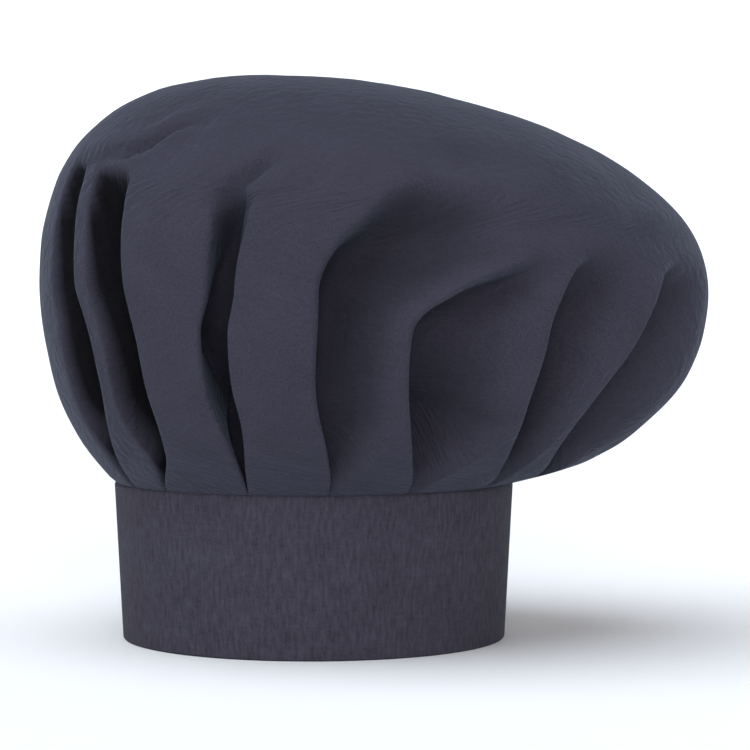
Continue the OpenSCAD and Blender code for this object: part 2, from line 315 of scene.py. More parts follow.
@dataclass(frozen=True)
class Cloth(Finish):
    """A plain woven cloth, drawn in its own UV map in metres."""

    name: str
    colour: Point
    pitch: float = 0.00045
    streak: float = 0.5
    cross: float = 0.5
    mottle: float = 0.30
    fleck: float = 0.55
    streak_size: tuple[float, float] = (0.0013, 0.010)
    sheen: float = 0.25
    roughness: float = 0.85
    relief: float = 0.00012
    crumple: float = 0.00025
    # Whether painted shade darkens the colour in the folds' hollows, by the mesh's hollow attribute.
    paint_hollow_shade: bool = False

    def build(self, n: Nodes) -> bpy.types.Material:
        """Fills the material with threads, slubs, mottling, small crumples and sheen, and, for the crown,
        painted shade in the folds' hollows from the mesh's hollow attribute.
        """
        uv = n.add("UVMap", uv_map="cloth").outputs[0]

        def noise_of(along: float, up: float, seed: float, detail: float = 2.0) -> bpy.types.NodeSocket:
            corner, scale = (seed, seed * 0.7, 0.0), (1 / along, 1 / up, 1.0)
            at = n.add("Mapping", Vector=uv, Location=corner, Scale=scale).outputs[0]
            found = n.add("TexNoise", noise_dimensions="2D", Vector=at, Scale=1.0, Detail=detail)
            return n.math("SUBTRACT", found.outputs[0], 0.5)

        def total(*terms: tuple[bpy.types.NodeSocket, float]) -> bpy.types.NodeSocket:
            value = n.math("MULTIPLY", *terms[0])
            for socket, share in terms[1:]:
                value = n.math("ADD", value, n.math("MULTIPLY", socket, share))
            return value

        across, up = self.streak_size
        warp = noise_of(across, up, 3.1)
        weft = noise_of(up * 0.7, across, 7.7)
        cloud = noise_of(0.022, 0.022, 1.3, 4.0)
        grain = noise_of(0.0008, 0.0008, 5.9, 1.0)
        wave = noise_of(0.0050, 0.0045, 2.4, 2.0)

        split = n.add("SeparateXYZ", Vector=uv)
        turn = 2 * math.pi / self.pitch
        ridges = [n.math("SINE", n.math("MULTIPLY", split.outputs[i], turn)) for i in (0, 1)]
        weave = n.math("MULTIPLY", *ridges)

        threads = ((warp, self.streak), (weft, self.cross))
        lift = total(*threads, (cloud, self.mottle), (grain, self.fleck), (weave, 0.08))
        value = n.math("MAXIMUM", n.math("ADD", lift, 1.0), 0.4)
        # Painted shade: the colour is darkened by the mesh's hollow attribute, deep in the folds where
        # little light reaches.
        if self.paint_hollow_shade:
            hollow = n.add("Attribute", attribute_name="hollow").outputs["Fac"]
            value = n.math("MULTIPLY", value, n.math("SUBTRACT", 1.0, hollow))
        tint = n.add("HueSaturation", Color=(*self.colour, 1.0), Value=value)
        fine = total((weave, 0.35), *threads, (grain, 1.0))
        bump = n.add("Bump", Height=fine, Distance=self.relief, Strength=1.0).outputs[0]
        bump = n.add("Bump", Height=wave, Distance=self.crumple * 4, Strength=1.0, Normal=bump)
        shader = n.add(
            "BsdfPrincipled",
            Base_Color=tint.outputs[0],
            Roughness=n.math("ADD", n.math("MULTIPLY", grain, 0.15), self.roughness),
            Sheen_Weight=self.sheen,
            Sheen_Roughness=0.4,
            Sheen_Tint=(0.6, 0.8, 1.0, 1.0),
            Specular_IOR_Level=0.12,
            Normal=bump.outputs[0],
        )
        return n.surface(shader)


@dataclass(frozen=True)
class Grained(Finish):
    """A fibrous or moulded finish, drawn in object coordinates."""

    name: str
    colour: Point
    grain: float
    contrast: float = 0.3
    roughness: float = 0.6
    relief: float = 0.00005
    stretch: Point = (1.0, 1.0, 1.0)
    sheen: float = 0.0

    def build(self, n: Nodes) -> bpy.types.Material:
        """Fills the material with fine grain in colour, roughness and bump."""
        at = n.add("TexCoord").outputs["Object"]
        scale = tuple(1 / (self.grain * share) for share in self.stretch)
        mapped = n.add("Mapping", Vector=at, Scale=scale).outputs[0]
        fine, broad = (
            n.math("SUBTRACT", n.add("TexNoise", Vector=mapped, Scale=size, Detail=detail).outputs[0], 0.5)
            for size, detail in ((1.0, 3.0), (0.12, 2.0))
        )
        lift = n.math("MULTIPLY", n.math("ADD", fine, broad), self.contrast * 2)
        tint = n.add("HueSaturation", Color=(*self.colour, 1.0), Value=n.math("ADD", lift, 1.0))
        bump = n.add("Bump", Height=fine, Distance=self.relief * 3, Strength=1.0)
        shader = n.add(
            "BsdfPrincipled",
            Base_Color=tint.outputs[0],
            Roughness=n.math("ADD", n.math("MULTIPLY", fine, 0.2), self.roughness),
            Sheen_Weight=self.sheen,
            Specular_IOR_Level=0.4,
            Normal=bump.outputs[0],
        )
        return n.surface(shader)


FINISHES: dict[Slot, Finish] = {
    # The crown's cloth carries painted shade in its folds' hollows.
    Slot.CROWN: Cloth(
        "crown_cloth", (0.0360, 0.0345, 0.0515), streak=0.14, cross=0.14, mottle=0.28, fleck=0.75,
        streak_size=(0.0011, 0.003), sheen=0.08, relief=0.00003, crumple=0.00026, paint_hollow_shade=True,
    ),
    Slot.BAND: Cloth(
        "band_cloth", (0.0430, 0.0400, 0.0560), streak=0.9, cross=0.3, streak_size=(0.0016, 0.007),
        sheen=0.0, relief=0.00009, crumple=0.00012,
    ),
    Slot.INTERLINING: Cloth("interlining", (0.42, 0.41, 0.38), pitch=0.0009, relief=0.0002, sheen=0.0),
    Slot.BINDING: Cloth(
        "binding_tape", (0.028, 0.028, 0.042), pitch=0.0006, streak_size=(0.0006, 0.02),
    ),
    Slot.THREAD: Grained("thread", (0.022, 0.022, 0.034), 0.00025, relief=0.00004, stretch=(1, 1, 0.6)),
    Slot.LOOP: Grained("loop_pile", (0.018, 0.018, 0.026), 0.0004, 0.5, 0.9, 0.00012, sheen=0.5),
    Slot.HOOK: Grained("hook_plastic", (0.012, 0.012, 0.014), 0.0006, 0.25, 0.42, 0.00003),
    Slot.LABEL: Cloth(
        "label_satin", (0.80, 0.79, 0.76), pitch=0.00025, streak=0.06, cross=0.10, mottle=0.05,
        fleck=0.05, streak_size=(0.0003, 0.006), sheen=0.4, roughness=0.38, relief=0.00002,
        crumple=0.00006,
    ),
}


# ------------------------------------------------------------------ the band's shape


@dataclass
class BandShape:
    """The oval of the head band, as the CAD band has it."""

    flare: float = 0.008
    lap_sink: float = 0.00468
    lap_ramp: float = 32.0
    lap_rest: float = 3.0
    half_top: tuple[float, float] = field(init=False)
    height: float = field(init=False)
    tab_turn: float = field(init=False)

    def __post_init__(self) -> None:
        """Reads the oval's size from the CAD band and the tab's end from the CAD tab."""
        low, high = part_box("band_outer")
        self.half_top = ((high.x - low.x) / 2, (high.y - low.y) / 2)
        self.height = high.z
        tab_low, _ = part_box("tab_outer")
        self.tab_turn = math.degrees(math.acos(tab_low.x / self.half_top[0])) - 90.0

    def outward(self, turn: np.ndarray) -> np.ndarray:
        """Direction square to the oval at each turn."""
        angle = np.radians(turn)
        v = np.stack([np.cos(angle) / self.half_top[0], np.sin(angle) / self.half_top[1]], -1)
        v /= np.linalg.norm(v, axis=-1, keepdims=True)
        return np.concatenate([v, np.zeros_like(v[..., :1])], -1)

    def out(self, turn: float) -> np.ndarray:
        """Direction square to the oval at one turn."""
        return self.outward(np.array([turn]))[0]

    def point(self, turn: np.ndarray, depth: np.ndarray, z: np.ndarray) -> np.ndarray:
        """Points of the band's oval.

        Args:
            turn: Angles about +Z, in degrees.
            depth: Distances inwards from the band's outer face.
            z: Heights.

        Returns:
            Positions, one row for each turn.
        """
        angle, z = np.radians(turn), np.asarray(z, float) + 0.0 * np.asarray(turn, float)
        shrink = self.flare / 2 * (1 - z / self.height)
        x = (self.half_top[0] - shrink) * np.cos(angle)
        y = (self.half_top[1] - shrink) * np.sin(angle)
        flat = np.stack([x, y, z], -1)
        return flat - self.outward(turn) * np.asarray(depth)[..., None]

    def sink(self, turn: np.ndarray) -> np.ndarray:
        """How far the strip has sunk under the tab, for turns counted round the front."""
        start = BACK + self.tab_turn + self.lap_rest + self.lap_ramp - 360.0
        return self.lap_sink * ease((start - np.asarray(turn, float)) / self.lap_ramp)

    def strip(self, turn: float, depth: float, z: float) -> np.ndarray:
        """A point of the strip, which runs round the front and sinks under the tab."""
        where = np.array([turn])
        return self.point(where, depth + self.sink(where), np.array([z]))[0]

    def oval(self, turn: float, depth: float, z: float) -> np.ndarray:
        """A point of the oval, which the tab follows."""
        return self.point(np.array([turn]), np.array([depth]), np.array([z]))[0]

    def degrees(self, length: float) -> float:
        """Turn that a length along the band takes up."""
        return math.degrees(length / ((self.half_top[0] + self.half_top[1] - self.flare / 2) / 2))


# ------------------------------------------------------------------ thread, hooks and loops


@dataclass
class Stitches:
    """Rows of stitches, each a small rounded length of thread."""

    name: str
    length: float = 0.0024
    gap: float = 0.0007
    width: float = 0.00052
    height: float = 0.00034
    mesh: bmesh.types.BMesh = field(default_factory=bmesh.new)

    def stitch(self, start: np.ndarray, stop: np.ndarray, out: np.ndarray) -> None:
        """Adds one stitch between two points of a face that looks along out."""
        x = Vector(stop - start)
        z = Vector(out)
        y = z.cross(x).normalized()
        turned = Matrix((x.normalized(), y, x.cross(y).normalized())).transposed().to_4x4()
        turned.translation = Vector((start + stop) / 2)
        shape = Matrix.Diagonal((x.length / 2, self.width / 2, self.height / 2, 1.0))
        bmesh.ops.create_icosphere(self.mesh, subdivisions=2, radius=1.0, matrix=turned @ shape)

    def row(self, place: Callable[[float], np.ndarray], out: Callable[[float], np.ndarray]) -> None:
        """Adds a row of stitches.

        Args:
            place: Gives the row's position for a share along it.
            out: Gives its face's outward direction.
        """
        shares = np.linspace(0.0, 1.0, 160)
        line = np.array([place(float(share)) for share in shares])
        run = np.r_[0.0, np.cumsum(np.linalg.norm(np.diff(line, axis=0), axis=1))]
        count = max(1, round((run[-1] + self.gap) / (self.length + self.gap)))
        pitch = (run[-1] + self.gap) / count
        for i in range(count):
            start, stop = np.interp([i * pitch, (i + 1) * pitch - self.gap], run, shares)
            self.stitch(place(start), place(stop), out((start + stop) / 2))

    def box(self, place: Place, out: Callable[[float], np.ndarray]) -> None:
        """Adds four rows round a rectangle whose sides run from share 0 to 1 along and up."""
        corner = 0.012
        for at in (0.0, 1.0):
            self.row(lambda share, at=at: place(share, at), out)
            self.row(
                lambda share, at=at: place(at, mix(corner, 1 - corner, share)),
                lambda share, at=at: out(at),
            )

    def finish(self, body: Body, *nodes: str) -> bpy.types.Object:
        """Makes the piece of all rows and fits it."""
        piece = new_object(self.name, self.mesh)
        fit(piece, Slot.THREAD, body, *nodes)
        return piece


@dataclass
class Pile:
    """Rows of small bent filaments that stand on a tape."""

    name: str
    arc: float
    radius: float = 0.00030
    filament: float = 0.00008
    squash: float = 0.7
    doublings: int = 5
    seed: int = 7

    def build(
        self, place: Callable[[float, float, float], np.ndarray], size: tuple[float, float]
    ) -> bpy.types.Object:
        """Makes the filaments and moves them onto the tape.

        Args:
            place: Gives a position for distances along and up the tape and a lift over it.
            size: The tape's length and height.

        Returns:
            The piece.
        """
        mesh = bmesh.new()
        ring = bmesh.ops.create_circle(mesh, segments=5, radius=self.filament)["verts"]
        bmesh.ops.translate(mesh, verts=ring, vec=(self.radius, 0, 0))
        bmesh.ops.spin(
            mesh, geom=list(mesh.edges), cent=(0, 0, 0), axis=(0, -1, 0), steps=6,
            angle=math.radians(self.arc),
        )
        pitch = [length / 2**self.doublings for length in size]
        for step in range(self.doublings):
            for axis in range(2):
                everything = mesh.verts[:] + mesh.edges[:] + mesh.faces[:]
                made = only_verts(bmesh.ops.duplicate(mesh, geom=everything)["geom"])
                shift = [0.0, 0.0, 0.0]
                shift[axis] = pitch[axis] * 2**step
                bmesh.ops.translate(mesh, verts=made, vec=shift)
        rng = np.random.default_rng(self.seed)
        count = 2**self.doublings
        turned = rng.uniform(-0.5, 0.5, (count, count))
        moved = rng.uniform(-0.25, 0.25, (count, count, 2))
        for vert in mesh.verts:
            i, j = (min(count - 1, max(0, round(vert.co[axis] / pitch[axis]))) for axis in (0, 1))
            x, y = vert.co.x - i * pitch[0], vert.co.y - j * pitch[1]
            c, s = math.cos(turned[i, j]), math.sin(turned[i, j])
            along = (i + 0.5 + moved[i, j, 0]) * pitch[0] + c * x - s * y
            up = (j + 0.5 + moved[i, j, 1]) * pitch[1] + s * x + c * y
            vert.co = place(along, up, vert.co.z * self.squash)
        return new_object(self.name, mesh)


# ------------------------------------------------------------------ the crown


FOLD_LEVELS = (0.0, 0.12, 0.28, 0.42, 0.50)


@dataclass(frozen=True)
class Fold:
    """The folded edge of one pleat, and the hollow that opens beside it.

    turns are the edge's at FOLD_LEVELS and then at its upper end, which is at tip_level. The
    hollow opens towards rising turns, or towards falling ones where the fold is mirrored. depth
    scales it, reach is the share of the panel that it takes to rise to the surface, floor the
    share of that reach which stays at the bottom, steep how sharply it meets the surface, from
    0 to 1, and painted_shade how much painted shade darkens the cloth's colour at its bottom,
    where little light gets in.
    """

    turns: tuple[float, float, float, float, float, float]
    tip_level: float = 0.58
    depth: float = 1.0
    reach: float = 0.6
    steep: float = 0.0
    floor: float = 0.0
    # Share of the colour's brightness taken away by painted shade at the hollow's bottom.
    painted_shade: float = 0.3
    mirrored: bool = False

    def edge(self, levels: np.ndarray) -> np.ndarray:
        """Turn of the folded edge at each level."""
        return flow(levels, (*FOLD_LEVELS, self.tip_level), self.turns)

    def open_reach(self, level: float) -> float:
        """The hollow's reach at a level: it narrows towards the seam."""
        return self.reach * mix(0.07, 1.0, float(ease(level / self.tip_level / 0.42)))


FOLDS = (
    Fold((-149, -147, -144, -146, -149, -153), 0.64, 1.4, 0.40, floor=0.55, painted_shade=0.90, mirrored=True),
    Fold((-134, -129, -131, -133, -135, -138), 0.63, 1.4, 0.70, floor=0.60, painted_shade=0.90, mirrored=True),
    Fold((-107, -112, -117.5, -119, -117.5, -117), 0.62, 1.10, 0.27, 0.7, painted_shade=0.4),
    Fold((-85, -92, -98, -99, -99, -84), 0.65, 1.10, 0.95, 0.2, painted_shade=0.36),
    Fold((-63, -74, -82, -84, -78, -64), 0.55, 1.00, 0.90, 0.2, painted_shade=0.26),
    Fold((-36, -51, -60, -61, -59, -53), 0.57, 0.95, 0.80),
    Fold((-12, -36, -46, -42, -37, -31), 0.56, 0.90, 0.75),
    Fold((14, -8, -17, -14, -11, -7), 0.57, 0.90, 0.70),
    Fold((42, 28, 20, 19, 18, 16), 0.57, 0.90, 0.60),
    Fold((69, 61, 56, 53, 52, 51), 0.58, 0.95, 0.35),
    Fold((112, 115, 117, 115, 113, 111), 0.58, 0.95, 0.55),
    Fold((136, 140, 142, 143, 142, 140), 0.60, 0.95, 0.50, 0.4),
    Fold((160, 163, 165, 165, 164, 163), 0.60, 0.95, 0.45),
    Fold((184, 187, 188, 189, 188, 187), 0.61, 1.00, 0.45, floor=0.3, mirrored=True),
)
SLIT_FOLD = 9  # the fold whose panel has the slit
NARROW_DARK, WIDE_DARK = 0.0028, 0.012  # depths at which the painted shade of a narrow and a wide hollow is full


@dataclass(frozen=True)
class Crease:
    """A shallow wrinkle: turns and levels along it, its depth and its half width in metres."""

    path: tuple[tuple[float, float], ...]
    depth: float = 0.0016
    width: float = 0.0045


CREASES = (
    Crease(((-158, 0.64), (-143, 0.65), (-136, 0.67), (-131, 0.71), (-124, 0.72)), 0.0062, 0.0030),
    Crease(((-116, 0.60), (-112, 0.63), (-107, 0.67)), 0.0052, 0.0034),
    Crease(((-142, 0.60), (-139, 0.62), (-136, 0.62)), 0.0022, 0.0034),
    Crease(((-84, 0.66), (-70, 0.69), (-52, 0.70)), 0.0012, 0.0080),
    Crease(((-44, 0.60), (-30, 0.66), (-10, 0.69)), 0.0014, 0.0070),
    Crease(((20, 0.62), (40, 0.66), (58, 0.66)), 0.0018, 0.0060),
    Crease(((118, 0.64), (140, 0.67), (160, 0.66)), 0.0018, 0.0060),
)


@dataclass(frozen=True)
class Bend:
    """A fold's cross-section: a bend, a straight return under the panel and a bend back."""

    angle: float
    radius: float
    back: float

    @property
    def outermost(self) -> float:
        """How far the bend bulges past the start of its curve."""
        return self.radius * math.sin(min(self.angle, math.pi / 2))

    def profile(self, bend_cells: int, return_cells: int) -> tuple[np.ndarray, np.ndarray]:
        """Distances past the folded edge, and depths, from the upper panel to the lower one.

        Args:
            bend_cells: Cells round each bend.
            return_cells: Cells along the return.

        Returns:
            Two arrays of 2 * bend_cells + return_cells + 1 values.
        """
        sin, cos = math.sin(self.angle), math.cos(self.angle)
        a = np.linspace(0.0, 1.0, bend_cells + 1)
        b = np.linspace(0.0, 1.0, return_cells + 1)[1:-1]
        s1, d1 = self.radius * sin, self.radius * (1 - cos)
        s2, d2 = s1 + self.back * cos, d1 + self.back * sin
        last = self.angle * (1 - a)
        s = [
            self.radius * np.sin(self.angle * a),
            s1 + self.back * b * cos,
            s2 + self.radius * (sin - np.sin(last)),
        ]
        d = [
            self.radius * (1 - np.cos(self.angle * a)),
            d1 + self.back * b * sin,
            d2 + self.radius * (np.cos(last) - cos),
        ]
        return np.concatenate(s) - self.outermost, np.concatenate(d)


@dataclass
class Crown:
    """The crown: one round cloth, pleated into the band and puffed out."""

    band: BandShape
    disc_radius: float = 0.325
    cloth: float = 0.0005
    belly_tilt: float = 0.0037
    top_slope: float = 0.118
    belly_height: float = 0.090
    belly_front: float = 0.147
    reach_droop: float = 0.190
    reach_stand: float = 0.131
    seam_handle: tuple[float, float] = (0.034, 0.055)
    seam_rise: tuple[float, float] = (46.0, 12.0)
    handle_below: tuple[float, float] = (0.035, 0.0476)
    handle_above: tuple[float, float] = (0.0887, 0.0528)
    handle_top: tuple[float, float] = (0.101, 0.077)
    slit_gap: float = 0.0020
    slit_radius: float = 0.115
    seam_groove: float = 0.0006
    hem: float = 0.004
    hem_depth: tuple[float, float] = (0.0006, 0.0010)
    rings: int = 102
    bend_cells: int = 5
    return_cells: int = 4
    panel_cells: int = 16
    hollow_cells: int = 7
    top: np.ndarray = field(init=False)
    slit_level: float = field(init=False)
    vent_level: float = field(init=False)

    def __post_init__(self) -> None:
        """Places the top over the middle of the widest line, at the CAD crown's height."""
        _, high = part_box("crown")
        middle = (self.reach_droop - self.reach_stand) / 2
        self.top = np.array([middle, 0.0, high.z - 0.0032])
        self.slit_level = self.level_at(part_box("vent_bar_tack")[0].z)
        self.vent_level = self.level_at(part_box("vent_binding")[1].z)

    def level_at(self, height: float) -> float:
        """Level of the surface at the centre back that has this height."""
        levels = np.linspace(0.0, 0.5, 400)
        return float(np.interp(height, self.surface(np.full_like(levels, BACK), levels)[:, 2], levels))

    def side(self, pair: tuple[float, float], turn: np.ndarray) -> np.ndarray:
        """Blends a value from the standing side to the drooping side."""
        return mix(pair[0], pair[1], (1 + np.cos(np.radians(turn))) / 2)

    def surface(self, turn: np.ndarray, level: np.ndarray) -> np.ndarray:
        """The crown's smooth outer surface.

        Args:
            turn: Angles about +Z, in degrees.
            level: Shares of the way up.

        Returns:
            Positions, one row for each turn and level.
        """
        turn, level = np.broadcast_arrays(np.asarray(turn, float), np.asarray(level, float))
        angle = np.radians(turn)
        cos, sin = np.cos(angle), np.sin(angle)
        half = (self.reach_droop + self.reach_stand) / 2
        seam = self.band.point(turn, np.zeros_like(turn), np.full_like(turn, self.band.height))
        belly = np.stack(
            [
                self.top[0] + half * cos,
                self.belly_front * sin,
                self.band.height + self.belly_height - self.belly_tilt * cos,
            ],
            -1,
        )
        up = np.array([0.0, 0.0, 1.0])
        away = belly - seam
        away[..., 2] = 0.0
        away /= np.linalg.norm(away, axis=-1, keepdims=True)
        rise = np.radians(self.side(self.seam_rise, turn))[..., None]
        over = belly - self.top
        over[..., 2] = 0.0
        over *= (self.side(self.handle_top, turn) / np.linalg.norm(over, axis=-1))[..., None]
        over[..., 2] = -self.top_slope * over[..., 0]
        climb = away * np.cos(rise) + up * np.sin(rise)
        first = seam + self.side(self.seam_handle, turn)[..., None] * climb
        second = belly - up * self.side(self.handle_below, turn)[..., None]
        third = belly + up * self.side(self.handle_above, turn)[..., None]
        fourth = self.top + over
        low = (level < 0.5)[..., None]
        p0, p1 = np.where(low, seam, belly), np.where(low, first, third)
        p2, p3 = np.where(low, second, fourth), np.where(low, belly, self.top)
        s = np.where(level < 0.5, level * 2, level * 2 - 1)[..., None]
        r = 1 - s
        return r**3 * p0 + 3 * r * r * s * p1 + 3 * r * s * s * p2 + s**3 * p3

    def inward(self, turn: np.ndarray, level: np.ndarray) -> np.ndarray:
        """Directions inwards, square to the smooth surface."""
        held = np.clip(level, 0.01, 0.985)
        up = self.surface(turn, held + 0.005) - self.surface(turn, held - 0.005)
        along = self.surface(turn + 0.5, held) - self.surface(turn - 0.5, held)
        n = np.cross(up, along)
        n /= np.linalg.norm(n, axis=-1, keepdims=True)
        out = -self.band.outward(turn)
        low = ease(level / 0.05)[..., None]
        n = mix(out, n, low)
        return n / np.linalg.norm(n, axis=-1, keepdims=True)

    # The bends of a fold, from the seam (0) to its tip (1) and on over the crown's top.
    HEIGHTS = (0.0, 0.10, 0.40, 0.70, 0.88, 0.95, 1.0)
    BEND_ANGLE = (179.0, 172.0, 156.0, 132.0, 104.0, 66.0, 0.0)
    BEND_LENGTH = (0.0013, 0.0032, 0.0055, 0.0068, 0.0072, 0.0070, 0.0060)
    RETURN_LENGTH = (0.036, 0.034, 0.027, 0.020, 0.014, 0.009, 0.004)

    def levels(self) -> np.ndarray:
        """Levels of the crown's rings: the hem's, then closest at the seam and the folds' tips."""
        share = np.linspace(0.0, 1.0, self.rings - 1)
        rings = flow(share, (0.0, 0.25, 0.55, 0.75, 0.9, 1.0), (0.0, 0.16, 0.46, 0.64, 0.82, 0.985))
        return np.r_[0.0, rings]

    def bend(self, level: float, k: int, under: float, own: float) -> Bend:
        """The cross-section of one fold at a level.

        Args:
            level: The level.
            k: The fold's number.
            under: Width of the panel that it is tucked under.
            own: Width of the panel on its other side.

        Returns:
            The bend.
        """
        fold = FOLDS[k]
        u = level / fold.tip_level
        angle = max(math.radians(float(flow(u, self.HEIGHTS, self.BEND_ANGLE))), 1e-4)
        scale = mix(1.0, fold.depth * min(1.0, under / 0.030), float(ease(u / 0.3)))
        length = min(float(flow(u, self.HEIGHTS, self.BEND_LENGTH)) * scale, min(under, own) * 0.14)
        back = float(flow(u, self.HEIGHTS, self.RETURN_LENGTH)) * scale
        room = self.room(k if fold.mirrored else (k - 1) % len(FOLDS), u) * under
        if u < 0.3:
            back = min(back, mix(room, max(room, back), float(ease(u / 0.3))))
        angle = min(angle, math.acos(-min(1.0, room / back)))
        return Bend(angle, length / angle, min(back, 0.3 * own / max(math.cos(angle), 1e-3)))

    @staticmethod
    def room(panel: int, u: float) -> float:
        """Share of a panel's width that a fold may be tucked under it, u of the way up the fold."""
        own, after = FOLDS[panel], FOLDS[(panel + 1) % len(FOLDS)]
        widest = 0.30 if panel == SLIT_FOLD else 0.44 if own.mirrored and not after.mirrored else 0.88
        hollow = after.reach if own.mirrored and after.mirrored else 0.0 if own.mirrored else own.reach
        return mix(widest, min(widest, 1.04 - hollow), float(ease(u / 0.35)))

    def panel(
        self, level: float, width: float, k: int, bends: list[Bend], slit: float
    ) -> tuple[np.ndarray, np.ndarray]:
        """The panel after one fold, between its own ends.

        Args:
            level: The level.
            width: Distance from its fold's edge to the next one's.
            k: The fold's number.
            bends: All bends at this level.
            slit: Distance of the slit from the fold's edge, or 0 for no slit.

        Returns:
            Distances from the fold's edge and depths, for the columns inside the panel.
        """
        n = len(FOLDS)
        own, after = FOLDS[k], FOLDS[(k + 1) % n]
        reach = width * own.open_reach(level)
        next_reach = width * after.open_reach(level)
        s0, d0 = bends[k].profile(self.bend_cells, self.return_cells)
        s1, d1 = bends[(k + 1) % n].profile(self.bend_cells, self.return_cells)
        start = -s0[0] if own.mirrored else s0[-1]
        stop = width - s1[-1] if after.mirrored else width + s1[0]
        first = start if own.mirrored else max(min(reach, mix(start, stop, 0.9)), mix(start, stop, 0.1))
        last = max(width - next_reach, mix(start, stop, 0.1)) if after.mirrored else stop
        last = min(last, mix(start, stop, 0.9)) if after.mirrored else last
        cells = (0 if own.mirrored else self.hollow_cells, self.hollow_cells if after.mirrored else 0)
        knots = {0: start, cells[0]: first, self.panel_cells - cells[1]: last, self.panel_cells: stop}
        if slit:
            knots[self.slit_cell] = slit
        order = sorted(knots)
        place = np.arange(1, self.panel_cells)
        s = np.interp(place, order, [knots[i] for i in order])
        if after.mirrored:
            share = (place - self.panel_cells + self.hollow_cells) / self.hollow_cells
            s = np.where(share > 0, last + (stop - last) * share**2, s)
        d = np.zeros_like(s)
        if not own.mirrored:
            d += d0[-1] * (1 - self.rise(s / reach, own))
        if after.mirrored:
            d += d1[-1] * (1 - self.rise((width - s) / next_reach, after))
        return s, d

    @property
    def slit_cell(self) -> int:
        """Which of its panel's columns the slit follows."""
        return (self.hollow_cells + self.panel_cells) // 2

    @staticmethod
    def rise(share: np.ndarray, fold: Fold) -> np.ndarray:
        """How far a fold's hollow has risen to the surface at each share of its reach."""
        held = np.clip((share - fold.floor) / (1 - fold.floor), 0.0, 1.0)
        return mix(ease(held), held**3, fold.steep)

    def build(self) -> bpy.types.Object:
        """Spins the flat cloth, then folds and puffs it.

        Returns:
            The crown.
        """
        levels = self.levels()
        fold_cells = 2 * self.bend_cells + self.return_cells
        cells = fold_cells + self.panel_cells
        columns = cells * len(FOLDS)
        radii = self.disc_radius * (1 - np.linspace(0.0, 1.0, self.rings + 1)[:-1])
        mesh = bmesh.new()
        line = [mesh.verts.new((r, 0.0, 0.0)) for r in (*radii, 0.0)]
        edges = [mesh.edges.new(pair) for pair in zip(line, line[1:])]
        bmesh.ops.spin(
            mesh, geom=line + edges, axis=(0, 0, 1), cent=(0, 0, 0), angle=2 * math.pi,
            steps=columns, use_merge=True,
        )
        bmesh.ops.remove_doubles(mesh, verts=mesh.verts, dist=1e-6)
        slit_column = SLIT_FOLD * cells + fold_cells + self.slit_cell
        slit_ring = int(np.searchsorted(levels, self.slit_level))
        side = self.cut_slit(mesh, 360.0 * slit_column / columns, slit_ring)
        flat = coordinates(mesh)
        radius = np.hypot(flat[:, 0], flat[:, 1])
        ring = np.rint((1 - radius / self.disc_radius) * self.rings).astype(int)
        angle = np.degrees(np.arctan2(flat[:, 1], flat[:, 0])) % 360
        column = np.rint(angle / 360 * columns).astype(int) % columns

        turns, depths, lengths = self.grid(levels, columns, cells)
        hub = ring >= self.rings
        ring_in = np.where(hub, self.rings - 1, ring)
        turn, depth = turns[ring_in, column], depths[ring_in, column]
        level = levels[ring_in]
        lapped = (turn > BACK + 0.01) | (side > 0)
        lap = np.where(lapped, self.lap(turn - 360.0, level), 0.0)
        hem = ring == 0
        depth = np.where(hem, np.clip(depth, *self.hem_depth), depth)
        depth = depth + lap + self.seam_groove * (1 - ease(level / 0.02))
        turn = turn + side * np.degrees(self.slit_gap / 2 / self.slit_radius)
        place = self.surface(turn, level)
        calm = (1 - ease((abs(turn - BACK) - 5) / 8)) * (1 - ease((level - self.vent_level) / 0.08))
        depth = depth + (self.creasing(place) + self.unevenness(place, level)) * (1 - calm)
        place = place + self.inward(turn, level) * depth[:, None]
        place[hem, 2] -= self.hem
        place[hub] = self.top
        cloth_angle = 2 * math.pi * lengths[ring_in, column]
        cloth_radius = np.where(hub, 0.0, self.cloth_radius(levels)[ring_in])
        uv_place = np.stack([np.cos(cloth_angle), np.sin(cloth_angle)], -1) * cloth_radius[:, None]

        uv = mesh.loops.layers.uv.new("cloth")
        mesh.verts.index_update()
        for face in mesh.faces:
            for loop in face.loops:
                loop[uv].uv = uv_place[loop.vert.index]
        move_to(mesh, place)
        bmesh.ops.recalc_face_normals(mesh, faces=mesh.faces)
        piece = new_object("crown_cloth", mesh)
        # Painted shade: the hollow attribute darkens the cloth's colour in the folds' hollows, the more
        # the deeper they are, up to each fold's painted shade amount.
        shade = piece.data.attributes.new("hollow", "FLOAT", "POINT")
        painted_shades = [self.painted_shade(i // cells, i % cells >= fold_cells) for i in range(columns)]
        painted_shade, full = np.array(painted_shades).T
        hollow = np.where(hub, 0.0, depths[ring_in, column])
        shade.data.foreach_set("value", painted_shade[column] * ease(hollow / full[column]))
        add_wall(piece, self.cloth)
        return piece

    @staticmethod
    def painted_shade(k: int, in_panel: bool) -> tuple[float, float]:
        """How much shade is painted into a column's hollow at its bottom, and how deep it is so."""
        after = FOLDS[(k + 1) % len(FOLDS)]
        fold = after if in_panel and after.mirrored else FOLDS[k]
        return fold.painted_shade, NARROW_DARK if fold.mirrored else WIDE_DARK

